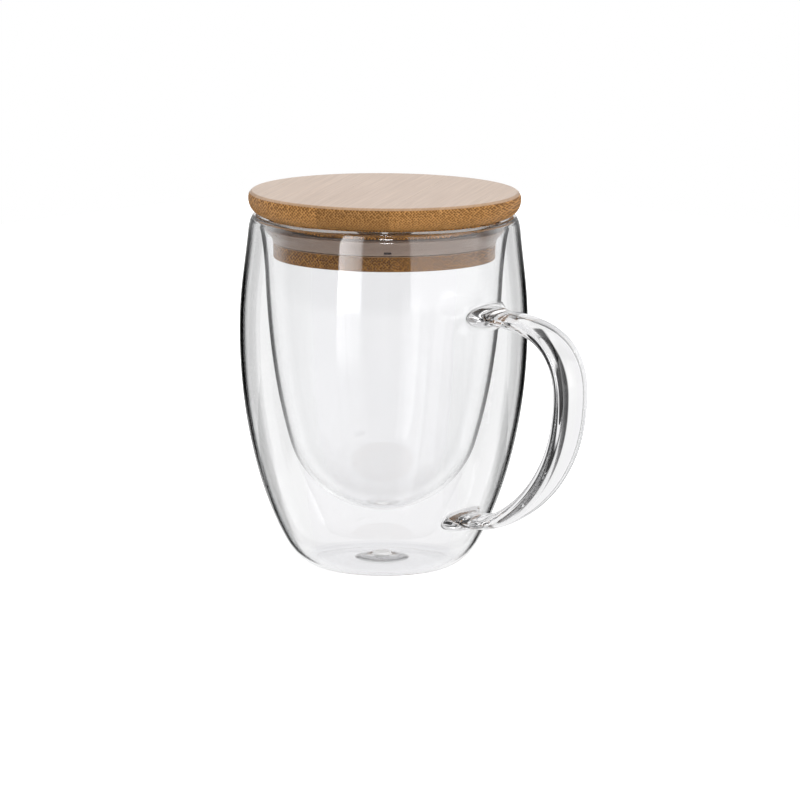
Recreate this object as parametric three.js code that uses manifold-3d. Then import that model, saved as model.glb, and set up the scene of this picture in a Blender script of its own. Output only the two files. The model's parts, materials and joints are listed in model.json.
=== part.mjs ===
// Double-wall glass mug with a bamboo lid and a silicone seal.
// Millimetres, +Z up. The mug stands on z = 0 and its handle points to +X.

import * as THREE from 'three';
import { mergeVertices } from 'three/addons/utils/BufferGeometryUtils.js';
import Module from 'manifold-3d';

const wasm = await Module();
wasm.setup();

// Inner glass bowl: inside surface, with the mouth as the size that the lid and the outer wall follow
const rimHeight = 116.2;
const neckRadius = 37.9;
const neckLean = 0.05;
const neckEaseDown = 20;
const neckEaseUp = 7;
const flareHeight = 16.5;
const mouthFlare = 1.8;
const mouthLean = 0.2;
const mouthEase = 5;
const bowlTaper = 6.9;
const bowlFloorHeight = 19.5;
const bowlTurn = 73.5;
const bowlEase = 16.5;
const innerWall = 1.1;

// Rolled rim: the lid rests on its flat crown
const rimDepth = 4.7;
const rimWall = 1.3;
const crownInset = 2.5;
const crownLand = 0.8;

// Outer glass wall: outside surface
const outerWall = 1.2;
const seamAirGap = 2.6;
const bellyAirGap = 7.15;
const bellyDrop = 37.2;
const bellyEaseUp = 12.4;
const bellyEaseDown = 30.5;
const shoulderLean = 0.1;
const shoulderEase = 14.4;
const standRadius = 22.4;
const standWidth = 3.5;
const standEase = 0.7;
const heelFlare = 9.1;
const heelHeight = 7.8;
const heelLean = 0.56;
const heelEaseUp = 15.5;
const heelEaseDown = 5.6;

// Dimple and vent hole in the base
const puntRise = 0.7;
const dimpleRadius = 9;
const dimpleSlope = 1.2;
const ventHoleRadius = 2.5;

// Handle: a flattened strap and its two weld pads
const fingerRoom = 33.8;
const handleRise = 8.7;
const handleLowerHeight = 19.3;
const crestDrop = 21.7;
const handleUpperLead = 7.5;
const handleLowerLead = 12.5;
const handleRootDepth = 5;
const handleUpperBend = 22;
const crestBendUp = 12;
const crestBendDown = 33.5;
const handleLowerBend = 3.5;
const handleLowerLean = 6;
const strapWidth = 15;
const strapThickness = 5;
const padSpread = 1.5;
const padSwell = 0.9;
const padDepth = 3.5;
const weldGap = 0.3;

// Silicone vent plug
const ventGap = 0.3;
const ventHeadRadius = 3.5;
const ventHeadThickness = 1;
const ventHeadClearance = 0.5;
const ventBarbReach = 0.8;
const ventBarbHeight = 0.7;
const ventTipRadius = 2.8;

// Bamboo lid
const lidGap = 0.3;
const lidOverhang = 0.1;
const lidSeatWidth = 0.8;
const flangeThickness = 7.5;
const flangeShoulder = 2.8;
const flangeTopInset = 0.9;
const flangeTopChamfer = 0.35;
const flangeUnderEaseOut = 2.2;
const flangeUnderEaseUp = 1.5;
const flangeSideEase = 2.4;
const plugClearance = 1.5;
const plugDepth = 13.8;
const plugChamfer = 0.5;
const neckBand = 3.2;
const grooveHeight = 5.6;
const grooveDepth = 2;
const staveWidth = 24;
const edgeStave = 9;
const glueLine = 0.3;
const grainTurn = 30.5;

// Silicone seal ring
const sealGap = 0.3;
const sealBandThickness = 1.6;
const sealLipThickness = 0.9;
const sealLipRoot = 2.4;

// Facets
const roundSegments = 48;
const ventSegments = 24;
const wallSteps = 7;
const turnSteps = 4;
const strapSteps = 36;
const strapHalfSides = 7;
const padSides = 18;
const padRings = 10;

// Places worked out from the sizes above
const seamHeight = rimHeight - rimDepth;
const neckHeight = seamHeight - flareHeight;
const bellyHeight = rimHeight - bellyDrop;
const mouthRadius = neckRadius + mouthFlare;
const bowlRadius = neckRadius - bowlTaper;
const crownRadius = mouthRadius + crownInset;
const shoulderRadius = mouthRadius + innerWall + seamAirGap + outerWall;
const bellyRadius = neckRadius + innerWall + bellyAirGap + outerWall;
const heelRadius = standRadius + heelFlare;
const baseUnderside = ventHeadClearance + ventHeadThickness + ventGap;
const handleReach = bellyRadius + fingerRoom + strapThickness / 2;
const handleUpperHeight = bellyHeight + handleRise;
const crestHeight = handleUpperHeight - crestDrop;
const flangeRadius = shoulderRadius + lidOverhang;
const flangeUnderRadius = crownRadius - lidSeatWidth;
const flangeUnderside = rimHeight + lidGap;
const flangeTop = flangeUnderside + flangeThickness;
const plugRadius = neckRadius - plugClearance;
const plugTop = flangeUnderside - glueLine;
const plugBottom = plugTop - plugDepth;
const grooveTop = plugTop - neckBand;
const grooveBottom = grooveTop - grooveHeight;
const grooveRadius = plugRadius - grooveDepth;

function point(radius, height) {
  return new THREE.Vector2(radius, height);
}

// A cubic curve in the radius-height plane, as points
function bend(from, fromHandle, toHandle, to, steps) {
  return new THREE.CubicBezierCurve(from, fromHandle, toHandle, to).getPoints(steps);
}

// Joins runs of points into one outline, leaving out a point that repeats the one before it
function outline(...runs) {
  const points = [];
  for (const next of runs.flat()) {
    const last = points.at(-1);
    if (!last || last.distanceTo(next) > 1e-4) points.push(next);
  }
  return points;
}

// Moves an outline sideways: to the left of its direction for a positive distance
function offset(points, distance) {
  return points.map((here, index) => {
    const before = points[Math.max(index - 1, 0)];
    const after = points[Math.min(index + 1, points.length - 1)];
    const into = here.clone().sub(before).normalize();
    const out = after.clone().sub(here).normalize();
    const along = into.add(out).normalize();
    return point(here.x - along.y * distance, here.y + along.x * distance);
  });
}

// Radius of an outline that rises steadily, at a height on it
function radiusAt(points, height) {
  const upper = points.findIndex((place) => place.y >= height);
  const low = points[upper - 1];
  const high = points[upper];
  return low.x + (high.x - low.x) * (height - low.y) / (high.y - low.y);
}

// Turns an outline round the vertical axis, anticlockwise outlines giving outward faces
function revolve(points, segments = roundSegments) {
  const turned = new THREE.LatheGeometry(points, segments).rotateX(Math.PI / 2);
  return weldVertices(turned);
}

function weldVertices(geometry) {
  geometry.deleteAttribute('normal');
  geometry.deleteAttribute('uv');
  return mergeVertices(geometry, 1e-4);
}

function closed(points) {
  return [...points, points[0].clone()];
}

function toSolid(geometry) {
  const vertProperties = new Float32Array(geometry.attributes.position.array);
  const triVerts = new Uint32Array(geometry.index.array);
  return new wasm.Manifold(new wasm.Mesh({ numProp: 3, vertProperties, triVerts }));
}

function toGeometry(solid) {
  const { vertProperties, triVerts } = solid.getMesh();
  const geometry = new THREE.BufferGeometry();
  geometry.setAttribute('position', new THREE.BufferAttribute(vertProperties, 3));
  geometry.setIndex(new THREE.BufferAttribute(triVerts, 1));
  return geometry;
}

function piece(name, geometry, look) {
  geometry.computeVertexNormals();
  const mesh = new THREE.Mesh(geometry, new THREE.MeshStandardMaterial(look));
  mesh.name = name;
  return mesh;
}

const clearGlass = { color: 0xeef3f4, roughness: 0.03, metalness: 0, transparent: true, opacity: 0.35 };
const milkySilicone = { color: 0xb8aeaa, roughness: 0.4, metalness: 0, transparent: true, opacity: 0.8 };
const whiteSilicone = { color: 0xf1f1ee, roughness: 0.45, metalness: 0 };
const bambooTones = [0xcb9a5c, 0xc08c50, 0xb17c42, 0xc79658, 0xd0a065];

// Outside of the outer wall, from the standing ring up to the welded seam
function outerWallOutline() {
  const heel = point(heelRadius, heelHeight);
  const belly = point(bellyRadius, bellyHeight);
  const shoulder = point(shoulderRadius, seamHeight);
  const heelTurn = bend(
    point(standRadius, 0),
    point(standRadius + standEase, 0),
    point(heelRadius - heelLean * heelEaseDown, heelHeight - heelEaseDown),
    heel,
    turnSteps,
  );
  const lowerWall = bend(
    heel,
    point(heelRadius + heelLean * heelEaseUp, heelHeight + heelEaseUp),
    point(bellyRadius, bellyHeight - bellyEaseDown),
    belly,
    wallSteps,
  );
  const upperWall = bend(
    belly,
    point(bellyRadius, bellyHeight + bellyEaseUp),
    point(shoulderRadius + shoulderLean * shoulderEase, seamHeight - shoulderEase),
    shoulder,
    wallSteps - 2,
  );
  return outline(heelTurn, lowerWall, upperWall);
}

// Underside of the base, from the vent hole out to the standing ring
function baseOutline() {
  return [
    point(ventHoleRadius, baseUnderside),
    point(dimpleRadius - dimpleSlope, baseUnderside),
    point(dimpleRadius, puntRise),
    point(standRadius - standWidth, 0),
  ];
}

function makeOuterGlass() {
  const outside = outline(baseOutline(), outerWallOutline());
  const inside = offset(outside, outerWall);
  inside[0] = point(ventHoleRadius, baseUnderside + outerWall);
  inside[inside.length - 1] = point(shoulderRadius - outerWall, seamHeight);
  return revolve(closed([...outside, ...inside.reverse()]));
}

// Inside of the inner bowl, from the middle of its floor up to the seam's height
function bowlOutline() {
  const turn = THREE.MathUtils.degToRad(bowlTurn);
  const down = -Math.PI / 2;
  const centre = bowlFloorHeight + bowlRadius;
  const floor = new THREE.EllipseCurve(0, centre, bowlRadius, bowlRadius, down, down + turn);
  const floorPoints = floor.getPoints(wallSteps);
  floorPoints[0].x = 0;
  const floorEnd = floorPoints.at(-1);
  const neck = point(neckRadius, neckHeight);
  const mouth = point(mouthRadius, seamHeight);
  const side = bend(
    floorEnd,
    point(floorEnd.x + bowlEase * Math.cos(turn), floorEnd.y + bowlEase * Math.sin(turn)),
    point(neckRadius - neckLean * neckEaseDown, neckHeight - neckEaseDown),
    neck,
    wallSteps - 2,
  );
  const flare = bend(
    neck,
    point(neckRadius + neckLean * neckEaseUp, neckHeight + neckEaseUp),
    point(mouthRadius - mouthLean * mouthEase, seamHeight - mouthEase),
    mouth,
    turnSteps,
  );
  return outline(floorPoints, side, flare);
}

// The rolled rim, from the seam on the outside over the crown to the mouth on the inside
function rimOutline() {
  const crownOuter = point(crownRadius + crownLand / 2, rimHeight);
  const crownInner = point(crownRadius - crownLand / 2, rimHeight);
  const half = rimDepth / 2;
  const outside = bend(
    point(shoulderRadius, seamHeight),
    point(shoulderRadius - shoulderLean * half, seamHeight + half),
    point((shoulderRadius + crownOuter.x) / 2, rimHeight),
    crownOuter,
    turnSteps,
  );
  const inside = bend(
    crownInner,
    point((mouthRadius + crownInner.x) / 2, rimHeight),
    point(mouthRadius + mouthLean * half, seamHeight + half),
    point(mouthRadius, seamHeight),
    turnSteps,
  );
  return outline(outside, inside);
}

// The hollow under the rolled rim, from the bowl's outside over to the outer wall's inside
function rimHollow() {
  const bowlSide = point(mouthRadius + innerWall, seamHeight);
  const wallSide = point(shoulderRadius - outerWall, seamHeight);
  const curveShare = 0.75;
  const pull = (rimDepth - rimWall) / curveShare;
  return bend(
    bowlSide,
    point(bowlSide.x + mouthLean * pull, seamHeight + pull),
    point(wallSide.x - shoulderLean * pull, seamHeight + pull),
    wallSide,
    turnSteps,
  );
}

function makeInnerGlass() {
  const inside = bowlOutline();
  const outside = offset(inside, -innerWall);
  outside[0] = point(0, bowlFloorHeight - innerWall);
  outside[outside.length - 1] = point(mouthRadius + innerWall, seamHeight);
  return revolve(outline(outside, rimHollow(), rimOutline(), [...inside].reverse()));
}

// The mug's body as one block, grown by the weld's gap, which trims the handle's ends
function makeWallTrimmer() {
  const grown = offset(outerWallOutline(), -weldGap);
  const top = point(0, grown.at(-1).y);
  const bottom = point(0, grown[0].y);
  return toSolid(revolve(outline([bottom], grown, [top])));
}

// Centre line of the strap, from inside the wall at the top to inside the wall at the bottom
function handleCentreLine() {
  const place = (reach, height) => new THREE.Vector3(reach, 0, height);
  const wall = outerWallOutline();
  const upperWall = radiusAt(wall, handleUpperHeight);
  const lowerWall = radiusAt(wall, handleLowerHeight);
  const upperLead = place(upperWall + handleUpperLead, handleUpperHeight);
  const crest = place(handleReach, crestHeight);
  const lean = THREE.MathUtils.degToRad(handleLowerLean);
  const alongFoot = (distance) => place(
    lowerWall + distance * Math.cos(lean),
    handleLowerHeight + distance * Math.sin(lean),
  );
  const lowerLead = alongFoot(handleLowerLead);
  const line = new THREE.CurvePath();
  line.add(new THREE.LineCurve3(place(upperWall - handleRootDepth, handleUpperHeight), upperLead));
  line.add(new THREE.CubicBezierCurve3(
    upperLead,
    place(upperLead.x + handleUpperBend, handleUpperHeight),
    place(handleReach, crestHeight + crestBendUp),
    crest,
  ));
  line.add(new THREE.CubicBezierCurve3(
    crest,
    place(handleReach, crestHeight - crestBendDown),
    alongFoot(handleLowerLead + handleLowerBend),
    lowerLead,
  ));
  line.add(new THREE.LineCurve3(lowerLead, alongFoot(-handleRootDepth)));
  return line;
}

function makeStrap() {
  const section = new THREE.Shape();
  section.absellipse(0, 0, strapThickness / 2, strapWidth / 2, 0, Math.PI * 2);
  const strap = new THREE.ExtrudeGeometry(section, {
    curveSegments: strapHalfSides,
    steps: strapSteps,
    bevelEnabled: false,
    extrudePath: handleCentreLine(),
  });
  return toSolid(weldVertices(strap));
}

// A flattened blob of glass where the strap is welded to the wall
function makeWeldPad(height) {
  const pad = weldVertices(new THREE.SphereGeometry(1, padSides, padRings));
  pad.scale(padDepth, strapWidth / 2 + padSpread, strapThickness / 2 + padSwell);
  pad.translate(radiusAt(outerWallOutline(), height), 0, height);
  return toSolid(pad);
}

function makeHandle() {
  const pads = makeWeldPad(handleUpperHeight).add(makeWeldPad(handleLowerHeight));
  return toGeometry(makeStrap().add(pads).subtract(makeWallTrimmer()));
}

function makeVentPlug() {
  const headTop = baseUnderside - ventGap;
  const headBottom = headTop - ventHeadThickness;
  const stemRadius = ventHoleRadius - ventGap;
  const barbBottom = baseUnderside + outerWall + ventGap;
  const barbTop = barbBottom + ventBarbHeight;
  return revolve([
    point(0, headBottom),
    point(ventHeadRadius, headBottom),
    point(ventHeadRadius, headTop),
    point(stemRadius, headTop),
    point(stemRadius, barbBottom),
    point(ventHoleRadius + ventBarbReach, barbBottom),
    point(ventTipRadius, barbTop),
    point(0, barbTop),
  ], ventSegments);
}

// Upper ply of the lid before it is split into staves
function flangeOutline() {
  const under = point(flangeUnderRadius, flangeUnderside);
  const widest = point(flangeRadius, flangeTop - flangeShoulder);
  const topEdge = point(flangeRadius - flangeTopInset, flangeTop - flangeTopChamfer);
  const side = bend(
    under,
    point(under.x + flangeUnderEaseOut, under.y + flangeUnderEaseUp),
    point(flangeRadius, widest.y - flangeSideEase),
    widest,
    turnSteps + 1,
  );
  const shoulder = bend(
    widest,
    point(flangeRadius, (widest.y + topEdge.y) / 2),
    point((flangeRadius + topEdge.x) / 2, topEdge.y - flangeTopChamfer),
    topEdge,
    turnSteps - 1,
  );
  return outline(
    [point(0, flangeUnderside)],
    side,
    shoulder,
    [point(topEdge.x - flangeTopChamfer, flangeTop), point(0, flangeTop)],
  );
}

// Lower ply of the lid, with the groove for the seal
function plugOutline() {
  return [
    point(0, plugBottom),
    point(plugRadius - plugChamfer, plugBottom),
    point(plugRadius, plugBottom + plugChamfer),
    point(plugRadius, grooveBottom),
    point(grooveRadius, grooveBottom),
    point(grooveRadius, grooveTop),
    point(plugRadius, grooveTop),
    point(plugRadius, plugTop),
    point(0, plugTop),
  ];
}

// Splits a round ply into staves that run along Y, with a glue line at each joint
function makeStaves(name, plyOutline, plyRadius, joints) {
  const ply = toSolid(revolve(plyOutline));
  const low = plyOutline[0].y;
  const high = plyOutline.at(-1).y;
  const edges = [-2 * plyRadius, ...joints, 2 * plyRadius];
  return edges.slice(1).map((right, index) => {
    const left = edges[index];
    const slab = new THREE.BoxGeometry(right - left - glueLine, 4 * plyRadius, 2 * (high - low));
    slab.translate((left + right) / 2, 0, (low + high) / 2);
    const stave = toSolid(weldVertices(slab)).intersect(ply);
    const look = { color: bambooTones[index % bambooTones.length], roughness: 0.6, metalness: 0 };
    return piece(`${name}_${index + 1}`, toGeometry(stave), look);
  });
}

// A lip seal: a band in the plug's groove and a lip that flares up to the mouth's wall
function makeSealRing() {
  const bandInner = grooveRadius + sealGap;
  const bandOuter = bandInner + sealBandThickness;
  const bottom = grooveBottom + sealGap;
  const top = grooveTop - sealGap;
  const mouthWall = outline(bowlOutline(), rimOutline().reverse());
  const tipRadius = radiusAt(mouthWall, top - sealLipThickness) - sealGap;
  const lipStart = bandOuter + sealLipThickness / 2;
  const flare = bend(
    point(lipStart, bottom),
    point(lipStart + sealLipThickness / 2, bottom + sealLipRoot),
    point(tipRadius - sealLipThickness, top - sealLipRoot),
    point(tipRadius, top - sealLipThickness / 2),
    turnSteps,
  );
  return revolve(closed([
    point(bandInner, bottom),
    ...flare,
    point(tipRadius - sealLipThickness / 2, top),
    point(tipRadius - sealLipThickness, top - sealLipThickness / 2),
    point(bandOuter + sealLipThickness / 2, bottom + sealLipRoot),
    point(bandOuter, bottom + sealLipRoot),
    point(bandOuter, top),
    point(bandInner, top),
  ]));
}

function makeMug() {
  const mug = new THREE.Group();
  mug.add(piece('outer_glass', makeOuterGlass(), clearGlass));
  mug.add(piece('inner_glass', makeInnerGlass(), clearGlass));
  mug.add(piece('handle', makeHandle(), clearGlass));
  mug.add(piece('vent_plug', makeVentPlug(), whiteSilicone));
  return mug;
}

function makeLid() {
  const middleJoints = [-staveWidth / 2, staveWidth / 2];
  const edgeJoint = flangeRadius - edgeStave;
  const topJoints = [-edgeJoint, ...middleJoints, edgeJoint];
  const lid = new THREE.Group();
  lid.add(...makeStaves('lid_top_stave', flangeOutline(), flangeRadius, topJoints));
  lid.add(...makeStaves('lid_plug_stave', plugOutline(), plugRadius, middleJoints));
  lid.rotation.z = THREE.MathUtils.degToRad(grainTurn);
  return lid;
}

// The origin lies under the middle of the whole object, handle included
const whole = new THREE.Group();
whole.add(makeMug(), makeLid(), piece('seal_ring', makeSealRing(), milkySilicone));
whole.position.x = -(handleReach + strapThickness / 2 - bellyRadius) / 2;

const part = new THREE.Group();
part.add(whole);

export default part;
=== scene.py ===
import bmesh
import bpy
import json
import math
from mathutils import Matrix, Vector


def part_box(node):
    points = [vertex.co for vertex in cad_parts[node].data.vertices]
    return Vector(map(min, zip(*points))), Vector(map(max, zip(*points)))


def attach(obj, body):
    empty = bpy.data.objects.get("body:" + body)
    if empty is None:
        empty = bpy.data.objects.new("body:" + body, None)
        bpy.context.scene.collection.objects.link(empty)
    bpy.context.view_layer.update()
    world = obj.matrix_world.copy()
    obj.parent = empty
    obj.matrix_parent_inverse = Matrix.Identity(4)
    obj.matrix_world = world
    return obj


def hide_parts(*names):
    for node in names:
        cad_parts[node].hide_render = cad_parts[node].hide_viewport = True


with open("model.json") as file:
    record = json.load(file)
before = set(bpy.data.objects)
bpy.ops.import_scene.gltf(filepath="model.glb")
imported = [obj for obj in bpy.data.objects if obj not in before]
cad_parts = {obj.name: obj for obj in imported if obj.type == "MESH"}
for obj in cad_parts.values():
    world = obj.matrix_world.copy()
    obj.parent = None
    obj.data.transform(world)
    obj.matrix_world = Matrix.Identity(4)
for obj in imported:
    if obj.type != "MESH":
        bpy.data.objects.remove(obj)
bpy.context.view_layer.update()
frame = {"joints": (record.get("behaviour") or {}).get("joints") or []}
mm = 0.001
samePoint = 1e-5
weldDistance = 1e-7
mergeDistance = 1e-6
sharpEdge = 35
turnJoint = next(joint for joint in frame["joints"] if joint["name"] == "lid_turn")
mugAxis = Vector((turnJoint["pos_m"][0], turnJoint["pos_m"][1], 0.0))
print("frame loaded, mug axis at", [round(value, 5) for value in mugAxis])


def bend(start, startPull, endPull, end, count):
    points = []
    for step in range(count + 1):
        t = step / count
        a, b, c, d = (1 - t) ** 3, 3 * (1 - t) ** 2 * t, 3 * (1 - t) * t * t, t ** 3
        points.append(Vector(start) * a + Vector(startPull) * b + Vector(endPull) * c + Vector(end) * d)
    return points


def joinRuns(*runs):
    points = []
    for run in runs:
        for place in run:
            place = Vector(place)
            if not points or (points[-1] - place).length > samePoint:
                points.append(place)
    return points


def shiftSideways(points, distance):  # positive moves to the left of the direction of travel
    moved = []
    for index, here in enumerate(points):
        before = points[max(index - 1, 0)]
        after = points[min(index + 1, len(points) - 1)]
        along = (after - before).normalized()
        moved.append(Vector((here.x - along.y * distance, here.y + along.x * distance)))
    return moved


def radiusAt(points, height):  # points rise or fall steadily
    for low, high in zip(points, points[1:]):
        if min(low.y, high.y) <= height <= max(low.y, high.y):
            share = (height - low.y) / (high.y - low.y or 1)
            return low.x + (high.x - low.x) * share
    return points[-1].x


def tidyMesh(mesh, sharpAngle=None):
    shape = bmesh.new()
    shape.from_mesh(mesh)
    bmesh.ops.remove_doubles(shape, verts=shape.verts, dist=weldDistance)
    bmesh.ops.recalc_face_normals(shape, faces=shape.faces)
    openEdges = sum(1 for edge in shape.edges if not edge.is_manifold)
    if shape.calc_volume(signed=True) < 0:
        bmesh.ops.reverse_faces(shape, faces=shape.faces)
    shape.to_mesh(mesh)
    shape.free()
    for face in mesh.polygons:
        face.use_smooth = True
    if sharpAngle is not None:
        mesh.set_sharp_from_angle(angle=math.radians(sharpAngle))
    print(mesh.name, "open edges:", openEdges)


def addPiece(name, mesh, material, body, slotName, *nodes):
    piece = showObject(name, mesh)
    mesh.materials.clear()
    mesh.materials.append(material)
    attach(piece, body)
    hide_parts(*nodes)
    print(name, "has", len(mesh.polygons), "faces")


# node helpers: a value is a number, a colour, a vector or another node's output
def feed(tree, socket, value):
    if isinstance(value, bpy.types.NodeSocket):
        tree.links.new(value, socket)
    elif socket.type == "RGBA":
        socket.default_value = (*value, 1.0)
    else:
        socket.default_value = value


def setInputs(tree, node, inputs):
    for key, value in inputs.items():
        feed(tree, node.inputs[key], value)


def addNode(tree, kind, inputs=None, **settings):
    node = tree.nodes.new(kind)
    for key, value in settings.items():
        setattr(node, key, value)
    setInputs(tree, node, inputs or {})
    return node


def addMath(tree, operation, *values, clamp=False):
    inputs = dict(enumerate(values))
    return addNode(tree, "ShaderNodeMath", inputs, operation=operation, use_clamp=clamp).outputs[0]


def addVector(tree, operation, *values):
    node = addNode(tree, "ShaderNodeVectorMath", dict(enumerate(values)), operation=operation)
    return node.outputs["Value" if operation in ("LENGTH", "DISTANCE", "DOT_PRODUCT") else "Vector"]


def addRange(tree, value, fromLow, fromHigh, toLow=0.0, toHigh=1.0, smooth=False):
    inputs = {"Value": value, "From Min": fromLow, "From Max": fromHigh, "To Min": toLow, "To Max": toHigh}
    kind = "SMOOTHSTEP" if smooth else "LINEAR"
    return addNode(tree, "ShaderNodeMapRange", inputs, interpolation_type=kind).outputs["Result"]


def addMix(tree, factor, first, second, blend="MIX"):
    inputs = {0: factor, 6: first, 7: second}
    return addNode(tree, "ShaderNodeMix", inputs, data_type="RGBA", blend_type=blend).outputs[2]


def addNoise(tree, place, scale, **inputs):
    values = {"Vector": place, "Scale": scale, **inputs}
    return addNode(tree, "ShaderNodeTexNoise", values).outputs[0]


def mixShaders(tree, factor, first, second):
    inputs = {0: factor, 1: first.outputs[0], 2: second.outputs[0]}
    return addNode(tree, "ShaderNodeMixShader", inputs)


def splitParts(tree, vector):
    return addNode(tree, "ShaderNodeSeparateXYZ", {0: vector}).outputs


def objectPlace(tree):
    return addNode(tree, "ShaderNodeTexCoord").outputs["Object"]


def newMaterial(name):
    material = bpy.data.materials.new(name)
    material.use_nodes = True
    tree = material.node_tree
    return material, tree, tree.nodes["Principled BSDF"]


def showObject(name, data):
    shown = bpy.data.objects.new(name, data)
    bpy.context.scene.collection.objects.link(shown)
    return shown


# sizes that every glass part shares, from the frame
outerLow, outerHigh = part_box("outer_glass")
innerLow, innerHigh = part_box("inner_glass")
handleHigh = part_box("handle")[1]
bellyRadius = (outerHigh.y - outerLow.y) / 2
shoulderRadius = (innerHigh.y - innerLow.y) / 2
seamHeight = outerHigh.z
rimHeight = innerHigh.z

# camera: fitted to the photo's ellipses and silhouettes
cameraFit = {
    "azimuth": 44.5,
    "distance": 1.9,
    "height": 0.380,
    "aimHeight": 0.060,
    "aimRight": 5.52 * mm,
    "aimDown": 5.42 * mm,
    "roll": 0.45,
    "lens": 263.6,
    "sensor": 36,
    "clipNear": 0.1,
    "clipFar": 50,
}
turn = math.radians(cameraFit["azimuth"])
cameraSide = Vector((math.cos(turn), math.sin(turn), 0))
cameraAway = Vector((-math.sin(turn), math.cos(turn), 0))


def makeCamera(fit):
    data = bpy.data.cameras.new("photoCamera")
    data.lens = fit["lens"]
    data.sensor_width = fit["sensor"]
    data.clip_start = fit["clipNear"]
    data.clip_end = fit["clipFar"]
    camera = showObject("photoCamera", data)
    place = mugAxis - cameraAway * fit["distance"] + Vector((0, 0, fit["height"]))
    middle = mugAxis + Vector((0, 0, fit["aimHeight"]))
    level = cameraSide.cross((middle - place).normalized())
    aim = middle + cameraSide * fit["aimRight"] - level * fit["aimDown"]
    forward = (aim - place).normalized()
    right = forward.cross(Vector((0, 0, 1))).normalized()
    up = right.cross(forward)
    roll = math.radians(fit["roll"])
    rolledRight = right * math.cos(roll) + up * math.sin(roll)
    rolledUp = up * math.cos(roll) - right * math.sin(roll)
    turned = Matrix((rolledRight, rolledUp, -forward)).transposed()
    camera.matrix_world = Matrix.Translation(place) @ turned.to_4x4()
    bpy.context.scene.camera = camera


makeCamera(cameraFit)
print("camera placed")

# glass: two blown walls and the handle, fused at the rim and at the handle's welds into one piece
glass = {
    "outerWall": 1.1 * mm,
    "innerWall": 1.0 * mm,
    "bellyHeight": 79 * mm,
    "bellyPullUp": 12.4 * mm,
    "bellyPullDown": 30.5 * mm,
    "shoulderLean": 0.1,
    "shoulderPull": 14.4 * mm,
    "standRadius": 22.4 * mm,
    "standWidth": 3.5 * mm,
    "standPull": 0.7 * mm,
    "heelRadius": 31.5 * mm,
    "heelHeight": 7.8 * mm,
    "heelLean": 0.56,
    "heelPullUp": 15.5 * mm,
    "heelPullDown": 5.6 * mm,
    "puntRise": 0.7 * mm,
    "dimpleRadius": 9 * mm,
    "dimpleSlope": 3.2 * mm,
    "baseUnderside": 1.8 * mm,
    "ventHole": 2.5 * mm,
    "bowlRadius": 31.0 * mm,
    "bowlFloor": 19.5 * mm,
    "bowlTurn": 73.5,
    "bowlPull": 16.5 * mm,
    "neckRadius": 37.9 * mm,
    "neckHeight": 95 * mm,
    "neckLean": 0.05,
    "neckPullDown": 20 * mm,
    "neckPullUp": 7 * mm,
    "mouthRadius": 39.7 * mm,
    "mouthLean": 0.2,
    "mouthPull": 5 * mm,
    "crownRadius": 42.2 * mm,
    "crownLand": 0.5 * mm,
    "rimWall": 1.1 * mm,
    "cavityRound": 0.7 * mm,
    "dimplePullTop": 0.3,
    "dimplePullLow": 0.4,
    "puntPull": 3 * mm,
    "standSoft": 0.15 * mm,
    "roofPull": 1.25,
    "curveSteps": 36,
    "wallSteps": 120,
    "dimpleSteps": 6,
    "puntSteps": 7,
    "rimSteps": 10,
    "roofSteps": 8,
    "segments": 144,
}


def outerWallCurve(size, count):
    heel = (size["heelRadius"], size["heelHeight"])
    belly = (bellyRadius, size["bellyHeight"])
    heelCurve = bend(
        (size["standRadius"], 0),
        (size["standRadius"] + size["standPull"], 0),
        (heel[0] - size["heelLean"] * size["heelPullDown"], heel[1] - size["heelPullDown"]),
        heel,
        count // 5,
    )
    lower = bend(
        heel,
        (heel[0] + size["heelLean"] * size["heelPullUp"], heel[1] + size["heelPullUp"]),
        (bellyRadius, size["bellyHeight"] - size["bellyPullDown"]),
        belly,
        count,
    )
    upper = bend(
        belly,
        (bellyRadius, size["bellyHeight"] + size["bellyPullUp"]),
        (shoulderRadius + size["shoulderLean"] * size["shoulderPull"], seamHeight - size["shoulderPull"]),
        (shoulderRadius, seamHeight),
        count // 2,
    )
    return joinRuns(heelCurve, lower, upper)


def bowlCurve(size, count):
    turned = math.radians(size["bowlTurn"])
    radius, centre = size["bowlRadius"], size["bowlFloor"] + size["bowlRadius"]
    floor = []
    for step in range(count + 1):
        angle = turned * step / count
        floor.append(Vector((radius * math.sin(angle), centre - radius * math.cos(angle))))
    end = floor[-1]
    neck = (size["neckRadius"], size["neckHeight"])
    side = bend(
        end,
        (end.x + size["bowlPull"] * math.cos(turned), end.y + size["bowlPull"] * math.sin(turned)),
        (neck[0] - size["neckLean"] * size["neckPullDown"], neck[1] - size["neckPullDown"]),
        neck,
        count,
    )
    flare = bend(
        neck,
        (neck[0] + size["neckLean"] * size["neckPullUp"], neck[1] + size["neckPullUp"]),
        (size["mouthRadius"] - size["mouthLean"] * size["mouthPull"], seamHeight - size["mouthPull"]),
        (size["mouthRadius"], seamHeight),
        count // 2,
    )
    return joinRuns(floor, side, flare)


def rimCurves(size, count):
    half = (rimHeight - seamHeight) / 2
    crownInner = size["crownRadius"] - size["crownLand"] / 2
    crownOuter = size["crownRadius"] + size["crownLand"] / 2
    inner = bend(
        (size["mouthRadius"], seamHeight),
        (size["mouthRadius"] + size["mouthLean"] * half, seamHeight + half),
        ((size["mouthRadius"] + crownInner) / 2, rimHeight),
        (crownInner, rimHeight),
        count,
    )
    outer = bend(
        (crownOuter, rimHeight),
        ((shoulderRadius + crownOuter) / 2, rimHeight),
        (shoulderRadius - size["shoulderLean"] * half, seamHeight + half),
        (shoulderRadius, seamHeight),
        count,
    )
    return inner, outer


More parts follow.
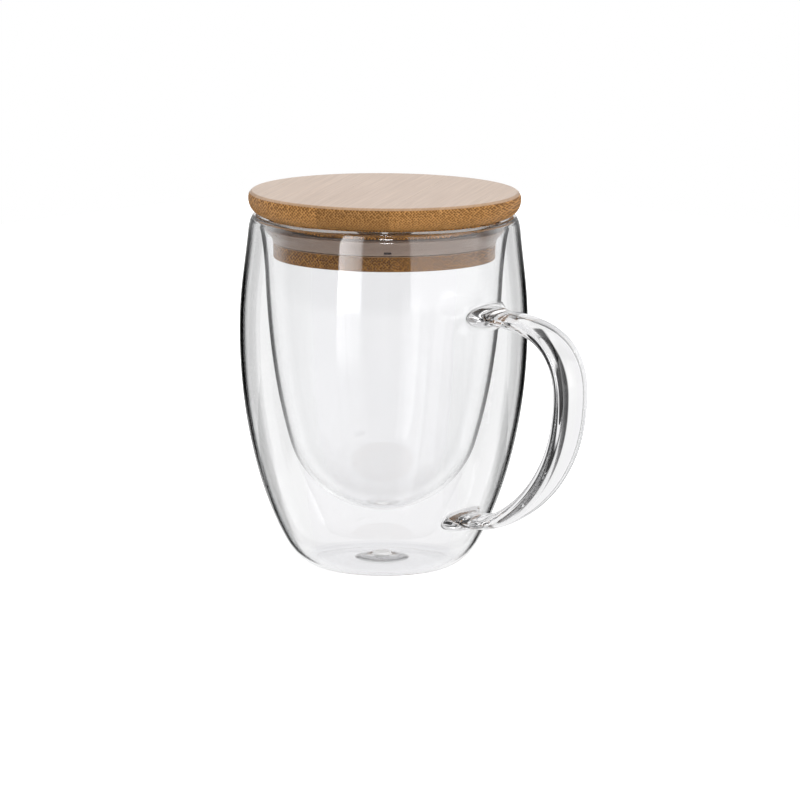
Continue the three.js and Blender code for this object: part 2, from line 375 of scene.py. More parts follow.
def glassProfile(size):
    count = size["curveSteps"]
    outside = outerWallCurve(size, count)
    inside = bowlCurve(size, count)
    hole = size["ventHole"]
    under = [
        (hole, size["baseUnderside"]),
        (size["dimpleRadius"] - size["dimpleSlope"], size["baseUnderside"]),
        (size["dimpleRadius"], size["puntRise"]),
        (size["standRadius"] - size["standWidth"], 0),
    ]
    base = joinRuns(
        [under[0]],
        bend(
            under[1],
            (size["dimpleRadius"] - size["dimpleSlope"] * size["dimplePullTop"], size["baseUnderside"]),
            (size["dimpleRadius"] - size["dimpleSlope"] * size["dimplePullLow"], size["puntRise"]),
            under[2],
            size["dimpleSteps"],
        ),
        bend(
            under[2],
            (under[2][0] + size["puntPull"], size["puntRise"]),
            (under[3][0] - size["puntPull"], size["standSoft"]),
            under[3],
            size["puntSteps"],
        ),
    )
    wall = joinRuns(base, outside)
    rimInner, rimOuter = rimCurves(size, size["rimSteps"])
    wallInside = shiftSideways(joinRuns(wall, reversed(rimOuter)), size["outerWall"])
    wallInside[0] = Vector((hole, size["baseUnderside"] + size["outerWall"]))
    cavityTop = rimHeight - size["rimWall"] - size["cavityRound"]
    wallInside = [place for place in wallInside if place.y < cavityTop]
    bowlOutside = shiftSideways(joinRuns(inside, rimInner), -size["innerWall"])
    bowlOutside[0] = Vector((0, size["bowlFloor"] - size["innerWall"]))
    bowlOutside = [place for place in bowlOutside if place.y < cavityTop]
    left, right = bowlOutside[-1], wallInside[-1]
    topLean = size["cavityRound"] * size["roofPull"]
    cavityRoof = bend(
        right,
        (right.x - size["shoulderLean"] * topLean, right.y + topLean),
        (left.x + size["mouthLean"] * topLean, left.y + topLean),
        left,
        size["roofSteps"],
    )
    return joinRuns(
        inside,
        rimInner,
        rimOuter,
        reversed(wall),
        wallInside,
        cavityRoof,
        reversed(bowlOutside),
    )


handle = {
    "lowerHeight": 19.3 * mm,
    "upperHeight": 87.7 * mm,
    "crestHeight": 66 * mm,
    "upperLead": 7.5 * mm,
    "lowerLead": 12.5 * mm,
    "lowerLean": 6,
    "upperBend": 22 * mm,
    "crestBendUp": 12 * mm,
    "crestBendDown": 33.5 * mm,
    "lowerBend": 3.5 * mm,
    "halfWidth": 7.5 * mm,
    "halfThick": 2.5 * mm,
    "rootHalfThick": 2.4 * mm,
    "boxiness": 2.25,
    "padHalfWidth": 9.0 * mm,
    "padHalfHeight": 3.4 * mm,
    "padLength": 6.5 * mm,
    "patchColumns": 7,
    "patchRows": 6,
    "patchRings": 5,
    "padRings": 9,
    "strapRings": 84,
    "swellPower": 0.7,
    "padPullOut": 0.38,
    "padPullBack": 0.45,
    "straightSteps": 24,
    "bendSteps": 80,
}


def handleLine(size, wallCurve):
    upperWall = radiusAt(wallCurve, size["upperHeight"])
    lowerWall = radiusAt(wallCurve, size["lowerHeight"])
    reach = handleHigh.x - mugAxis.x - size["halfThick"]
    crest = (reach, size["crestHeight"])
    lean = math.radians(size["lowerLean"])

    def alongTop(distance):
        return Vector((upperWall + distance, size["upperHeight"]))

    def alongFoot(distance):
        rise = distance * math.sin(lean)
        return Vector((lowerWall + distance * math.cos(lean), size["lowerHeight"] + rise))

    straightSteps = size["straightSteps"]
    return joinRuns(
        [alongTop(size["upperLead"] * step / straightSteps) for step in range(straightSteps)],
        bend(
            alongTop(size["upperLead"]),
            alongTop(size["upperLead"] + size["upperBend"]),
            (reach, size["crestHeight"] + size["crestBendUp"]),
            crest,
            size["bendSteps"],
        ),
        bend(
            crest,
            (reach, size["crestHeight"] - size["crestBendDown"]),
            alongFoot(size["lowerLead"] + size["lowerBend"]),
            alongFoot(size["lowerLead"]),
            size["bendSteps"],
        ),
        [alongFoot(size["lowerLead"] * step / straightSteps) for step in range(straightSteps - 1, -1, -1)],
    )


def walkLine(points):  # the distance walked at each point
    travelled = [0.0]
    for before, after in zip(points, points[1:]):
        travelled.append(travelled[-1] + (after - before).length)
    return travelled


def placeOnLine(points, travelled, distance):
    for index in range(len(points) - 1):
        if travelled[index + 1] >= distance or index == len(points) - 2:
            share = (distance - travelled[index]) / (travelled[index + 1] - travelled[index])
            place = points[index].lerp(points[index + 1], share)
            before, after = points[max(index - 1, 0)], points[min(index + 2, len(points) - 1)]
            return place, (after - before).normalized()


def sectionPlace(angle, halfWidth, halfThick, boxiness):
    power = 2 / boxiness
    across = math.copysign(abs(math.cos(angle)) ** power, math.cos(angle)) * halfWidth
    out = math.copysign(abs(math.sin(angle)) ** power, math.sin(angle)) * halfThick
    return across, out


def makeGlassMesh(size, grip):
    profile = glassProfile(size)
    wallCurve = outerWallCurve(size, size["wallSteps"])
    segments = size["segments"]
    vertices, rows = [], []
    for place in profile:
        if place.x < weldDistance:
            rows.append([len(vertices)] * segments)
            vertices.append(mugAxis + Vector((0, 0, place.y)))
            continue
        rows.append(list(range(len(vertices), len(vertices) + segments)))
        for segment in range(segments):
            angle = 2 * math.pi * segment / segments
            spot = Vector((place.x * math.cos(angle), place.x * math.sin(angle), place.y))
            vertices.append(mugAxis + spot)

    def onWall(across, height):
        radius = radiusAt(wallCurve, height)
        angle = across / radius
        return mugAxis + Vector((radius * math.cos(angle), radius * math.sin(angle), height))

    columns, spread = grip["patchColumns"], grip["patchRows"]
    skipped, patches = set(), []
    crownRow = max(range(len(profile)), key=lambda row: profile[row].y)
    standRow = min(range(len(profile)), key=lambda row: profile[row].y)
    for rootHeight, facing in ((grip["upperHeight"], 1), (grip["lowerHeight"], -1)):
        outsideRows = range(crownRow, standRow)
        middleRow = min(outsideRows, key=lambda row: abs(profile[row].y - rootHeight))
        for row in range(middleRow - spread, middleRow + spread):
            for column in range(-columns, columns):
                skipped.add((row, column % segments))
        ring = [(column, spread) for column in range(-columns, columns)]
        ring += [(columns, row) for row in range(spread, -spread, -1)]
        ring += [(column, -spread) for column in range(columns, -columns, -1)]
        ring += [(-columns, row) for row in range(-spread, spread)]
        loop, angles, flat = [], [], []
        for column, up in ring:
            row = middleRow - up * facing
            loop.append(rows[row][column % segments])
            angles.append(math.atan2(up / spread, column / columns))
            radius = profile[row].x
            flat.append((radius * 2 * math.pi * column / segments, profile[row].y))
        patches.append((rootHeight, facing, loop, angles, flat))

    faces = []
    for row, (upper, lower) in enumerate(zip(rows, rows[1:])):
        for segment in range(segments):
            if (row, segment) in skipped:
                continue
            after = (segment + 1) % segments
            corners = [upper[segment], upper[after], lower[after], lower[segment]]
            faces.append(list(dict.fromkeys(corners)))

    def addRing(places):
        start = len(vertices)
        vertices.extend(places)
        return list(range(start, start + len(places)))

    def bridge(first, second):
        for index in range(len(first)):
            after = (index + 1) % len(first)
            faces.append([first[index], first[after], second[after], second[index]])

    line = handleLine(grip, wallCurve)
    travelled = walkLine(line)
    total = travelled[-1]

    def strapRing(distance, angles):
        place, along = placeOnLine(line, travelled, distance)
        outward = Vector((-along.y, 0, along.x))
        swell = math.sin(math.pi * distance / total) ** grip["swellPower"]
        thick = grip["rootHalfThick"] + (grip["halfThick"] - grip["rootHalfThick"]) * swell
        ring = []
        for angle in angles:
            across, out = sectionPlace(angle, grip["halfWidth"], thick, grip["boxiness"])
            spot = Vector((place.x, 0, place.y)) + Vector((0, across, 0)) + outward * out
            ring.append(mugAxis + spot)
        return ring, Vector((along.x, 0, along.y))

    ends = []
    for rootHeight, facing, loop, angles, flat in patches:
        weld = []
        for angle in angles:
            weld.append((grip["padHalfWidth"] * math.cos(angle),
                         rootHeight + facing * grip["padHalfHeight"] * math.sin(angle)))
        last = loop
        for step in range(1, grip["patchRings"] + 1):
            share = step / grip["patchRings"]
            ringPlaces = []
            for (fromAcross, fromHeight), (toAcross, toHeight) in zip(flat, weld):
                across = fromAcross + (toAcross - fromAcross) * share
                ringPlaces.append(onWall(across, fromHeight + (toHeight - fromHeight) * share))
            ring = addRing(ringPlaces)
            bridge(last, ring)
            last = ring
        distance = grip["padLength"] if facing > 0 else total - grip["padLength"]
        target, along = strapRing(distance, angles)
        along = along * facing
        for step in range(1, grip["padRings"] + 1):
            t = step / grip["padRings"]
            ringPlaces = []
            for root, tip in zip([vertices[index] for index in ring], target):
                outward = (Vector((root.x, root.y, 0)) - mugAxis).normalized()
                pull = root + outward * grip["padLength"] * grip["padPullOut"]
                back = tip - along * grip["padLength"] * grip["padPullBack"]
                ringPlaces.append(root * (1 - t) ** 3 + pull * 3 * (1 - t) ** 2 * t
                                  + back * 3 * (1 - t) * t * t + tip * t ** 3)
            nextRing = addRing(ringPlaces)
            bridge(last, nextRing)
            last = nextRing
        ends.append((last, angles))
    last, angles = ends[0]
    for step in range(1, grip["strapRings"]):
        share = step / grip["strapRings"]
        distance = grip["padLength"] + (total - 2 * grip["padLength"]) * share
        ring = addRing(strapRing(distance, angles)[0])
        bridge(last, ring)
        last = ring
    bridge(last, ends[1][0])

    mesh = bpy.data.meshes.new("mugGlass")
    mesh.from_pydata(vertices, [], faces)
    tidyMesh(mesh)
    return mesh


glassLook = {
    "cloudScale": 40,
    "cloudy": (0.988, 0.990, 0.993),
    "clear": (0.998, 0.999, 1.0),
    # painted shade: darker colours for grazing edges, on the body and on the handle
    "edgeShadeBody": (0.74, 0.745, 0.755),
    "edgeShadeHandle": (0.15, 0.155, 0.17),
    "handleFrom": 6 * mm,
    "handleTo": 11 * mm,
    "grazeFrom": 0.82,
    "grazeTo": 0.99,
    # painted shade: darker colours for the base's dimple and the standing ring
    "dimpleShade": (0.55, 0.555, 0.565),
    "ringShade": (0.9, 0.905, 0.915),
    "ringHeight": 2 * mm,
    "refraction": 1.47,
    "shadowTint": (0.985, 0.985, 0.985),
}


def makeGlassMaterial(look):
    material, tree, shader = newMaterial("clearGlass")
    place = objectPlace(tree)
    body = addMix(tree, addNoise(tree, place, look["cloudScale"]), look["cloudy"], look["clear"])
    # painted shade: grazing edges are coloured darker, most of all on the handle
    fromAxis = addVector(tree, "SUBTRACT", place, mugAxis)
    radius = addVector(tree, "LENGTH", addVector(tree, "MULTIPLY", fromAxis, (1, 1, 0)))
    onHandle = addRange(tree, radius, bellyRadius + look["handleFrom"], bellyRadius + look["handleTo"])
    paintedEdgeShade = addMix(tree, onHandle, look["edgeShadeBody"], look["edgeShadeHandle"])
    weight = addNode(tree, "ShaderNodeLayerWeight", {"Blend": 0.5})
    grazing = addRange(tree, weight.outputs["Facing"], look["grazeFrom"], look["grazeTo"], smooth=True)
    cloudAndPaintedShade = addMix(tree, grazing, body, paintedEdgeShade)
    # painted shade: the base's dimple and the standing ring are darker too
    height = splitParts(tree, place)[2]
    inDimple = addMath(tree, "LESS_THAN", radius, glass["dimpleRadius"])
    inBase = addMath(tree, "LESS_THAN", height, glass["bowlFloor"] / 2)
    dimple = addMath(tree, "MULTIPLY", inDimple, inBase)
    cloudAndPaintedShade = addMix(tree, dimple, cloudAndPaintedShade, look["dimpleShade"])
    inRing = addMath(tree, "LESS_THAN", height, look["ringHeight"])
    inRing = addMath(tree, "SUBTRACT", inRing, dimple, clamp=True)
    cloudAndPaintedShade = addMix(tree, inRing, cloudAndPaintedShade, look["ringShade"])
    setInputs(tree, shader, {
        "Base Color": cloudAndPaintedShade,
        "Roughness": 0.0,
        "IOR": look["refraction"],
        "Transmission Weight": 1.0,
    })
    # shadows and soft light pass straight through
    path = addNode(tree, "ShaderNodeLightPath").outputs
    clear = addNode(tree, "ShaderNodeBsdfTransparent", {"Color": look["shadowTint"]})
    softLight = addMath(tree, "MAXIMUM", path["Is Shadow Ray"], path["Is Diffuse Ray"])
    mixed = mixShaders(tree, softLight, shader, clear)
    feed(tree, tree.nodes["Material Output"].inputs["Surface"], mixed.outputs[0])
    return material


clearGlass = makeGlassMaterial(glassLook)
addPiece("mugGlass", makeGlassMesh(glass, handle), clearGlass, "mug", "clear_glass",
         "outer_glass", "inner_glass", "handle")


# turned pieces: one node tree spins a profile round the mug's axis
def buildLatheTree():
    tree = bpy.data.node_groups.new("turnOnLathe", "GeometryNodeTree")
    face = tree.interface
    face.new_socket("Profile", in_out="INPUT", socket_type="NodeSocketGeometry")
    segments = face.new_socket("Segments", in_out="INPUT", socket_type="NodeSocketInt")
    centre = face.new_socket("Axis Place", in_out="INPUT", socket_type="NodeSocketVector")
    finish = face.new_socket("Finish", in_out="INPUT", socket_type="NodeSocketMaterial")
    face.new_socket("Turned", in_out="OUTPUT", socket_type="NodeSocketGeometry")
    entry = addNode(tree, "NodeGroupInput").outputs
    leave = addNode(tree, "NodeGroupOutput").inputs

    def intMath(operation, first, second):
        inputs = {0: first, 1: second}
        return addNode(tree, "FunctionNodeIntegerMath", inputs, operation=operation).outputs[0]

    profile = entry["Profile"]
    size = addNode(tree, "GeometryNodeAttributeDomainSize", {0: profile}, component="MESH")
    count = size.outputs["Point Count"]
    columns = intMath("ADD", entry["Segments"], 1)
    grid = addNode(tree, "GeometryNodeMeshGrid", {"Vertices X": columns, "Vertices Y": count})
    index = addNode(tree, "GeometryNodeInputIndex").outputs[0]
    position = addNode(tree, "GeometryNodeInputPosition").outputs[0]
    picked = {"Geometry": profile, "Value": position, "Index": intMath("MODULO", index, count)}
    sample = addNode(tree, "GeometryNodeSampleIndex", picked, data_type="FLOAT_VECTOR", domain="POINT")
    share = addMath(tree, "DIVIDE", intMath("DIVIDE_FLOOR", index, count), entry["Segments"])
    spun = {"Vector": sample.outputs["Value"], "Angle": addMath(tree, "MULTIPLY", share, 2 * math.pi)}
    spin = addNode(tree, "ShaderNodeVectorRotate", spun, rotation_type="Z_AXIS")
    shift = addVector(tree, "ADD", spin.outputs[0], entry["Axis Place"])
    shape = grid.outputs["Mesh"]
    for kind, inputs in (
        ("GeometryNodeSetPosition", {"Position": shift}),
        ("GeometryNodeMergeByDistance", {"Distance": mergeDistance}),
        ("GeometryNodeRealizeInstances", {}),
        ("GeometryNodeSetMaterial", {"Material": entry["Finish"]}),
    ):
        shape = addNode(tree, kind, {"Geometry": shape, **inputs}).outputs[0]
    feed(tree, leave["Turned"], shape)
    return tree, segments.identifier, centre.identifier, finish.identifier


latheTree, segmentsInput, centreInput, finishInput = buildLatheTree()


def turnProfile(name, points, segments, material):
    mesh = bpy.data.meshes.new(name + "Profile")
    mesh.from_pydata([(place.x, 0, place.y) for place in points],
                     [(index, index + 1) for index in range(len(points) - 1)], [])
    blank = showObject(name + "Profile", mesh)
    lathe = blank.modifiers.new("lathe", "NODES")
    lathe.node_group = latheTree
    lathe[segmentsInput] = segments
    lathe[centreInput] = tuple(mugAxis)
    lathe[finishInput] = material
    shown = bpy.context.evaluated_depsgraph_get()
    turned = bpy.data.meshes.new_from_object(blank.evaluated_get(shown))
    turned.name = name
    bpy.data.objects.remove(blank)
    tidyMesh(turned, sharpEdge)
    return turned


# bamboo lid
lid = {
    "overhang": 0.1 * mm,
    "underRadius": 41.0 * mm,
    "underDrop": 0.2 * mm,
    "shoulder": 2.4 * mm,
    "topInset": 1.3 * mm,
    "topCrisp": 0.3 * mm,
    "underPullOut": 2.3 * mm,
    "underPullUp": 0.8 * mm,
    "sidePull": 2.5 * mm,
    "shoulderPull": 0.55,
    "topPull": 0.5,
    "sideSteps": 12,
    "shoulderSteps": 8,
    "ringShares": (0, 0.25, 0.5, 0.75),
    "plugClearance": 1.5 * mm,
    "plugChamfer": 0.5 * mm,
    "chamferPull": 0.4,
    "chamferSteps": 4,
    "plugRing": 0.5,
    "grooveSoften": 0.15 * mm,
    "neckBand": 3.2 * mm,
    "grooveHeight": 5.6 * mm,
    "grooveDepth": 2.0 * mm,
    "staveWidth": 24 * mm,
    "edgeStave": 9 * mm,
    "hairGap": 0.02 * mm,
    "grainTurn": 30.5,
    "segments": 160,
}
lidLow = min(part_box(f"lid_top_stave_{number}")[0].z for number in range(1, 6))
lidHigh = max(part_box(f"lid_top_stave_{number}")[1].z for number in range(1, 6))
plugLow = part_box("lid_plug_stave_2")[0].z
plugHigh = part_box("lid_plug_stave_2")[1].z
lidRadius = shoulderRadius + lid["overhang"]
plugRadius = glass["neckRadius"] - lid["plugClearance"]


def flangeProfile(size):
    bottom = lidLow - size["underDrop"]
    under = (size["underRadius"], bottom)
    widest = (lidRadius, lidHigh - size["shoulder"])
    topEdge = (lidRadius - size["topInset"], lidHigh)
    side = bend(
        under,
        (under[0] + size["underPullOut"], under[1] + size["underPullUp"]),
        (lidRadius, widest[1] - size["sidePull"]),
        widest,
        size["sideSteps"],
    )
    shoulder = bend(
        widest,
        (lidRadius, widest[1] + size["shoulder"] * size["shoulderPull"]),
        (topEdge[0] + size["topInset"] * size["topPull"], lidHigh - size["topCrisp"]),
        topEdge,
        size["shoulderSteps"],
    )
    rings = [(topEdge[0] - size["topCrisp"], lidHigh)]
    rings += [(lidRadius * share, lidHigh) for share in reversed(size["ringShares"])]
    underRings = [(lidRadius * share, bottom) for share in size["ringShares"]]
    return joinRuns(underRings, side, shoulder, rings)


def plugProfile(size):
    grooveTop = plugHigh - size["neckBand"]
    grooveLow = grooveTop - size["grooveHeight"]
    grooveRadius = plugRadius - size["grooveDepth"]
    chamfer = size["plugChamfer"]
    pull = chamfer * size["chamferPull"]
    ring = plugRadius * size["plugRing"]
    corner = bend(
        (plugRadius - chamfer, plugLow),
        (plugRadius - pull, plugLow),
        (plugRadius, plugLow + pull),
        (plugRadius, plugLow + chamfer),
        size["chamferSteps"],
    )
    soften = size["grooveSoften"]
    return joinRuns(
        [(0, plugLow), (ring, plugLow)],
        corner,
        [
            (plugRadius, grooveLow - soften),
            (plugRadius - soften, grooveLow),
            (grooveRadius, grooveLow),
            (grooveRadius, grooveTop),
            (plugRadius - soften, grooveTop),
            (plugRadius, grooveTop + soften),
            (plugRadius, plugHigh),
            (ring, plugHigh),
            (0, plugHigh),
        ],
    )


def splitStaves(mesh, size, joints, prefix, material, nodePrefix):
    turned = math.radians(size["grainTurn"])
    across = Vector((math.cos(turned), math.sin(turned), 0))
    edges = [None, *joints, None]
    for number in range(len(edges) - 1):
        shape = bmesh.new()
        shape.from_mesh(mesh)
        for edge, direction in ((edges[number], 1), (edges[number + 1], -1)):
            if edge is None:
                continue
            cut = edge + direction * size["hairGap"] / 2
            everything = shape.verts[:] + shape.edges[:] + shape.faces[:]
            result = bmesh.ops.bisect_plane(shape, geom=everything, plane_co=mugAxis + across * cut,
                                            plane_no=across * -direction, clear_outer=True)
            rim = [item for item in result["geom_cut"] if isinstance(item, bmesh.types.BMEdge)]
            bmesh.ops.triangle_fill(shape, use_beauty=True, use_dissolve=False, edges=rim)
        stave = bpy.data.meshes.new(f"{prefix}{number + 1}")
        shape.to_mesh(stave)
        shape.free()
        tidyMesh(stave, sharpEdge)
        addPiece(f"{prefix}{number + 1}", stave, material, "lid", "bamboo", f"{nodePrefix}{number + 1}")


fibreGrain = {
    "staveSeed": 7.3,
    "wanderScale": 60,
    "wanderDetail": 2,
    "wanderReach": 1.2 * mm,
    "staveJump": 0.37,
    "crowding": (0.86, 1.08),
    "unevenness": 0.4,
    "dotRadius": (0.5, 0.36),
    "dotSize": (0.85, 1.1),
    "dotEdge": (-0.06, 0.1),
    "dotStrength": (0.75, 1.0),
    "fadeFrom": 0.15,
    "fadeTo": 0.7,
    "streakScale": (900.0, 22.0, 500.0),
    "streakDetail": 3,
    "streakRoughness": 0.6,
    "streakRange": (0.3, 0.7),
    "staveTone": (0.75, 1),
    "dent": 0.5,
}


def buildFibreGroup(grain):
    tree = bpy.data.node_groups.new("bambooFibre", "ShaderNodeTree")
    face = tree.interface
    face.new_socket("Vector", in_out="INPUT", socket_type="NodeSocketVector")
    defaults = {"Fibre Pitch": 1.0, "Skin Height": 0.124, "Ply Thickness": 0.009, "Stave Width": 0.024}
    for name, value in defaults.items():
        socket = face.new_socket(name, in_out="INPUT", socket_type="NodeSocketFloat")
        socket.default_value = value
    for name in ("Fibre", "Streak", "Stave Tone", "Height"):
        face.new_socket(name, in_out="OUTPUT", socket_type="NodeSocketFloat")
    entry = addNode(tree, "NodeGroupInput").outputs
    leave = addNode(tree, "NodeGroupOutput")
    across, along, up = splitParts(tree, entry["Vector"])
    # which stave a point lies in, counted from the middle one
    stave = addMath(tree, "ROUND", addMath(tree, "DIVIDE", across, entry["Stave Width"]))
    seed = {"W": addMath(tree, "ADD", stave, grain["staveSeed"])}
    luck = addNode(tree, "ShaderNodeTexWhiteNoise", seed, noise_dimensions="1D").outputs["Value"]
    # bundles of fibres: dots on the end grain, long streaks on the sides
    wander = addNoise(tree, entry["Vector"], grain["wanderScale"], Detail=grain["wanderDetail"])
    drift = addMath(tree, "MULTIPLY", addMath(tree, "SUBTRACT", wander, 0.5), grain["wanderReach"])
    jump = addMath(tree, "MULTIPLY", luck, grain["staveJump"])
    crowding = addRange(tree, stave, -1, 1, *grain["crowding"])
    perPitch = addMath(tree, "DIVIDE", crowding, entry["Fibre Pitch"])
    shifted = addMath(tree, "ADD", addMath(tree, "ADD", across, drift), jump)
    raised = addMath(tree, "ADD", up, drift)
    slant = addMath(tree, "MULTIPLY", perPitch, math.sqrt(0.5))
    slanted = {}
    for axis, operation in enumerate(("ADD", "SUBTRACT")):
        slanted[axis] = addMath(tree, "MULTIPLY", addMath(tree, operation, shifted, raised), slant)
    dotPlace = addNode(tree, "ShaderNodeCombineXYZ", slanted).outputs[0]
    spacing = {"Vector": dotPlace, "Scale": 1.0, "Randomness": grain["unevenness"]}
    cells = addNode(tree, "ShaderNodeTexVoronoi", spacing, voronoi_dimensions="2D", feature="F1")
    depth = addMath(tree, "SUBTRACT", entry["Skin Height"], up)
    depthShare = addMath(tree, "DIVIDE", depth, entry["Ply Thickness"], clamp=True)
    cellTone = addNode(tree, "ShaderNodeSeparateColor", {0: cells.outputs["Color"]}).outputs
    edge = addMath(tree, "MULTIPLY", addRange(tree, depthShare, 0.0, 1.0, *grain["dotRadius"]),
                   addRange(tree, cellTone[1], 0, 1, *grain["dotSize"]))
    inside = addMath(tree, "SUBTRACT", edge, cells.outputs["Distance"])
    dot = addRange(tree, inside, *grain["dotEdge"], smooth=True)
    strength = addRange(tree, cellTone[0], 0, 1, *grain["dotStrength"])
    fade = addRange(tree, depthShare, grain["fadeFrom"], 1.0, 1.0, grain["fadeTo"])
    fibre = addMath(tree, "MULTIPLY", addMath(tree, "MULTIPLY", dot, strength), fade)
    # broad soft streaks along the grain
    scaled = {}
    for axis, part in enumerate((shifted, along, up)):
        scaled[axis] = addMath(tree, "MULTIPLY", part, grain["streakScale"][axis])
    streakPlace = addNode(tree, "ShaderNodeCombineXYZ", scaled).outputs[0]
    streak = addNoise(tree, streakPlace, 1.0, Detail=grain["streakDetail"],
                      Roughness=grain["streakRoughness"])
    # the middle stave is darker than its neighbours
    fromMiddle = addMath(tree, "ABSOLUTE", stave, clamp=True)
    staveTone = addMath(tree, "MULTIPLY", fromMiddle, addRange(tree, luck, 0, 1, *grain["staveTone"]))
    setInputs(tree, leave, {
        "Fibre": fibre,
        "Streak": addRange(tree, streak, *grain["streakRange"]),
        "Stave Tone": staveTone,
        "Height": addMath(tree, "SUBTRACT", 0.5, addMath(tree, "MULTIPLY", fibre, grain["dent"])),
    })
    return tree


fibreGroup = buildFibreGroup(fibreGrain)


def makeBamboo(name, look):
    material, tree, shader = newMaterial(name)
    place = objectPlace(tree)
    grainTurn = (0, 0, math.radians(lid["grainTurn"]))
    turned = {"Vector": place, "Location": mugAxis, "Rotation": grainTurn}
    mapping = addNode(tree, "ShaderNodeMapping", turned, vector_type="TEXTURE")
    grain = {
        "Vector": mapping.outputs[0],
        "Fibre Pitch": look["pitch"],
        "Skin Height": look["skinHeight"],
        "Ply Thickness": look["plyThickness"],
        "Stave Width": lid["staveWidth"],
    }
    fibre = addNode(tree, "ShaderNodeGroup", grain, node_tree=fibreGroup)
    streak = fibre.outputs["Streak"]
    base = addMix(tree, streak, look["pale"], look["deep"])
    tone = addRange(tree, fibre.outputs["Stave Tone"], 0, 1, look["toneLow"], look["toneHigh"])
    height = splitParts(tree, place)[2]
    # painted light: the wood is drawn brighter above the given neck height, for the plug's neck band in
    # the flange's shade and for the flange above its shaded low edge
    neck = addRange(tree, height, look["neckLow"], look["neckHigh"], 1, look["neckPaintedLight"])
    tone = addMath(tree, "MULTIPLY", tone, neck)
    shade = addNode(tree, "ShaderNodeCombineColor", {0: tone, 1: tone, 2: tone}).outputs[0]
    toned = addMix(tree, 1.0, base, shade, "MULTIPLY")
    # the sanded face is paler than the turned edge
    normal = addNode(tree, "ShaderNodeNewGeometry").outputs["Normal"]
    facing = addRange(tree, splitParts(tree, normal)[2], look["faceFrom"], look["faceTo"], smooth=True)
    faceTone = addMix(tree, streak, look["facePale"], look["faceDeep"])
    colour = addMix(tree, facing, toned, faceTone)
    dotShare = addRange(tree, facing, 0, 1, look["dotStrength"], look["faceDotStrength"])
    dotShare = addMath(tree, "MULTIPLY", fibre.outputs["Fibre"], dotShare)
    dark = addMix(tree, facing, look["dot"], look["faceDot"])
    bump = addNode(tree, "ShaderNodeBump", {
        "Strength": look["bump"],
        "Distance": look["bumpDepth"],
        "Height": fibre.outputs["Height"],
    })
    setInputs(tree, shader, {
        "Base Color": addMix(tree, dotShare, colour, dark),
        "Roughness": addRange(tree, streak, 0, 1, look["roughLow"], look["roughHigh"]),
        "Specular IOR Level": look["gloss"],
        "Coat Roughness": look["oilRoughness"],
        "Coat Weight": addMath(tree, "MULTIPLY", facing, look["faceOil"]),
        "Normal": bump.outputs[0],
    })
    return material


bambooLook = {
    "pitch": 0.7 * mm,
    "skinHeight": lidHigh,
    "plyThickness": lidHigh - lidLow,
    "pale": (0.49, 0.25, 0.085),
    "deep": (0.415, 0.2, 0.062),
    "dot": (0.055, 0.02, 0.005),
    "faceFrom": 0.5,
    "faceTo": 0.66,
    "facePale": (0.548, 0.354, 0.212),
    "faceDeep": (0.432, 0.264, 0.146),
    "faceDot": (0.33, 0.20, 0.12),
    "toneLow": 0.79,
    "toneHigh": 1.04,
    "dotStrength": 0.75,
    "faceDotStrength": 0.3,
    "roughLow": 0.38,
    "roughHigh": 0.5,
    "gloss": 0.1,
    "faceOil": 1.0,
    "oilRoughness": 0.28,
    "bump": 0.25,
    "bumpDepth": 0.1 * mm,
    # painted light and shade: the flange side brightens over its lowest 4 mm, so the low edge reads darker
    "neckLow": lidLow,
    "neckHigh": lidLow + 4 * mm,
    "neckPaintedLight": 1.2,
}
plugLook = {
    **bambooLook,
    "pitch": 0.74 * mm,
    "skinHeight": plugLow + 4.5 * mm,
    "plyThickness": 9 * mm,
    "pale": (0.515, 0.245, 0.056),
    "deep": (0.44, 0.197, 0.043),
    "toneLow": 0.66,
    "toneHigh": 0.82,
    "dotStrength": 0.9,
    # painted light: the plug's neck band, in the flange's shade, is drawn much brighter
    "neckLow": plugHigh - lid["neckBand"] - 1 * mm,
    "neckHigh": plugHigh - lid["neckBand"],
    "neckPaintedLight": 1.9,
}
bambooTop = makeBamboo("bambooTop", bambooLook)
bambooPlug = makeBamboo("bambooPlug", plugLook)
middleJoints = [-lid["staveWidth"] / 2, lid["staveWidth"] / 2]
edgeJoint = lidRadius - lid["edgeStave"]
topJoints = [-edgeJoint, *middleJoints, edgeJoint]
flangeMesh = turnProfile("lidTop", flangeProfile(lid), lid["segments"], bambooTop)
splitStaves(flangeMesh, lid, topJoints, "lidTopStave", bambooTop, "lid_top_stave_")
plugMesh = turnProfile("lidPlug", plugProfile(lid), lid["segments"], bambooPlug)
splitStaves(plugMesh, lid, middleJoints, "lidPlugStave", bambooPlug, "lid_plug_stave_")

# silicone seal
seal = {
    "gap": 0.1 * mm,
    "band": 1.6 * mm,
    "lip": 0.9 * mm,
    "lipRoot": 2.4 * mm,
    "lipBack": 0.2,
    "flareSteps": 14,
    "tipSteps": 6,
    "segments": 160,
}
sealLow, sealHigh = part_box("seal_ring")
sealRadius = (sealHigh.y - sealLow.y) / 2


def sealProfile(size):
    inner = plugRadius - lid["grooveDepth"] + size["gap"]
    outer = inner + size["band"]
    bottom, top = sealLow.z, sealHigh.z
    tip = sealRadius
    start = outer + size["lip"] / 2
    flare = bend(
        (start, bottom),
        (start + size["lip"] / 2, bottom + size["lipRoot"]),
        (tip - size["lip"], top - size["lipRoot"]),
        (tip, top - size["lip"] / 2),
        size["flareSteps"],
    )
    return joinRuns(
        [(inner, bottom)],
        flare,
        bend((tip, top - size["lip"] / 2), (tip, top), (tip - size["lip"], top),
             (tip - size["lip"], top - size["lip"] / 2), size["tipSteps"]),
        [
            (start + size["lip"] * size["lipBack"], bottom + size["lipRoot"]),
            (outer, bottom + size["lipRoot"]),
            (outer, top),
            (inner, top),
            (inner, bottom),
        ],
    )


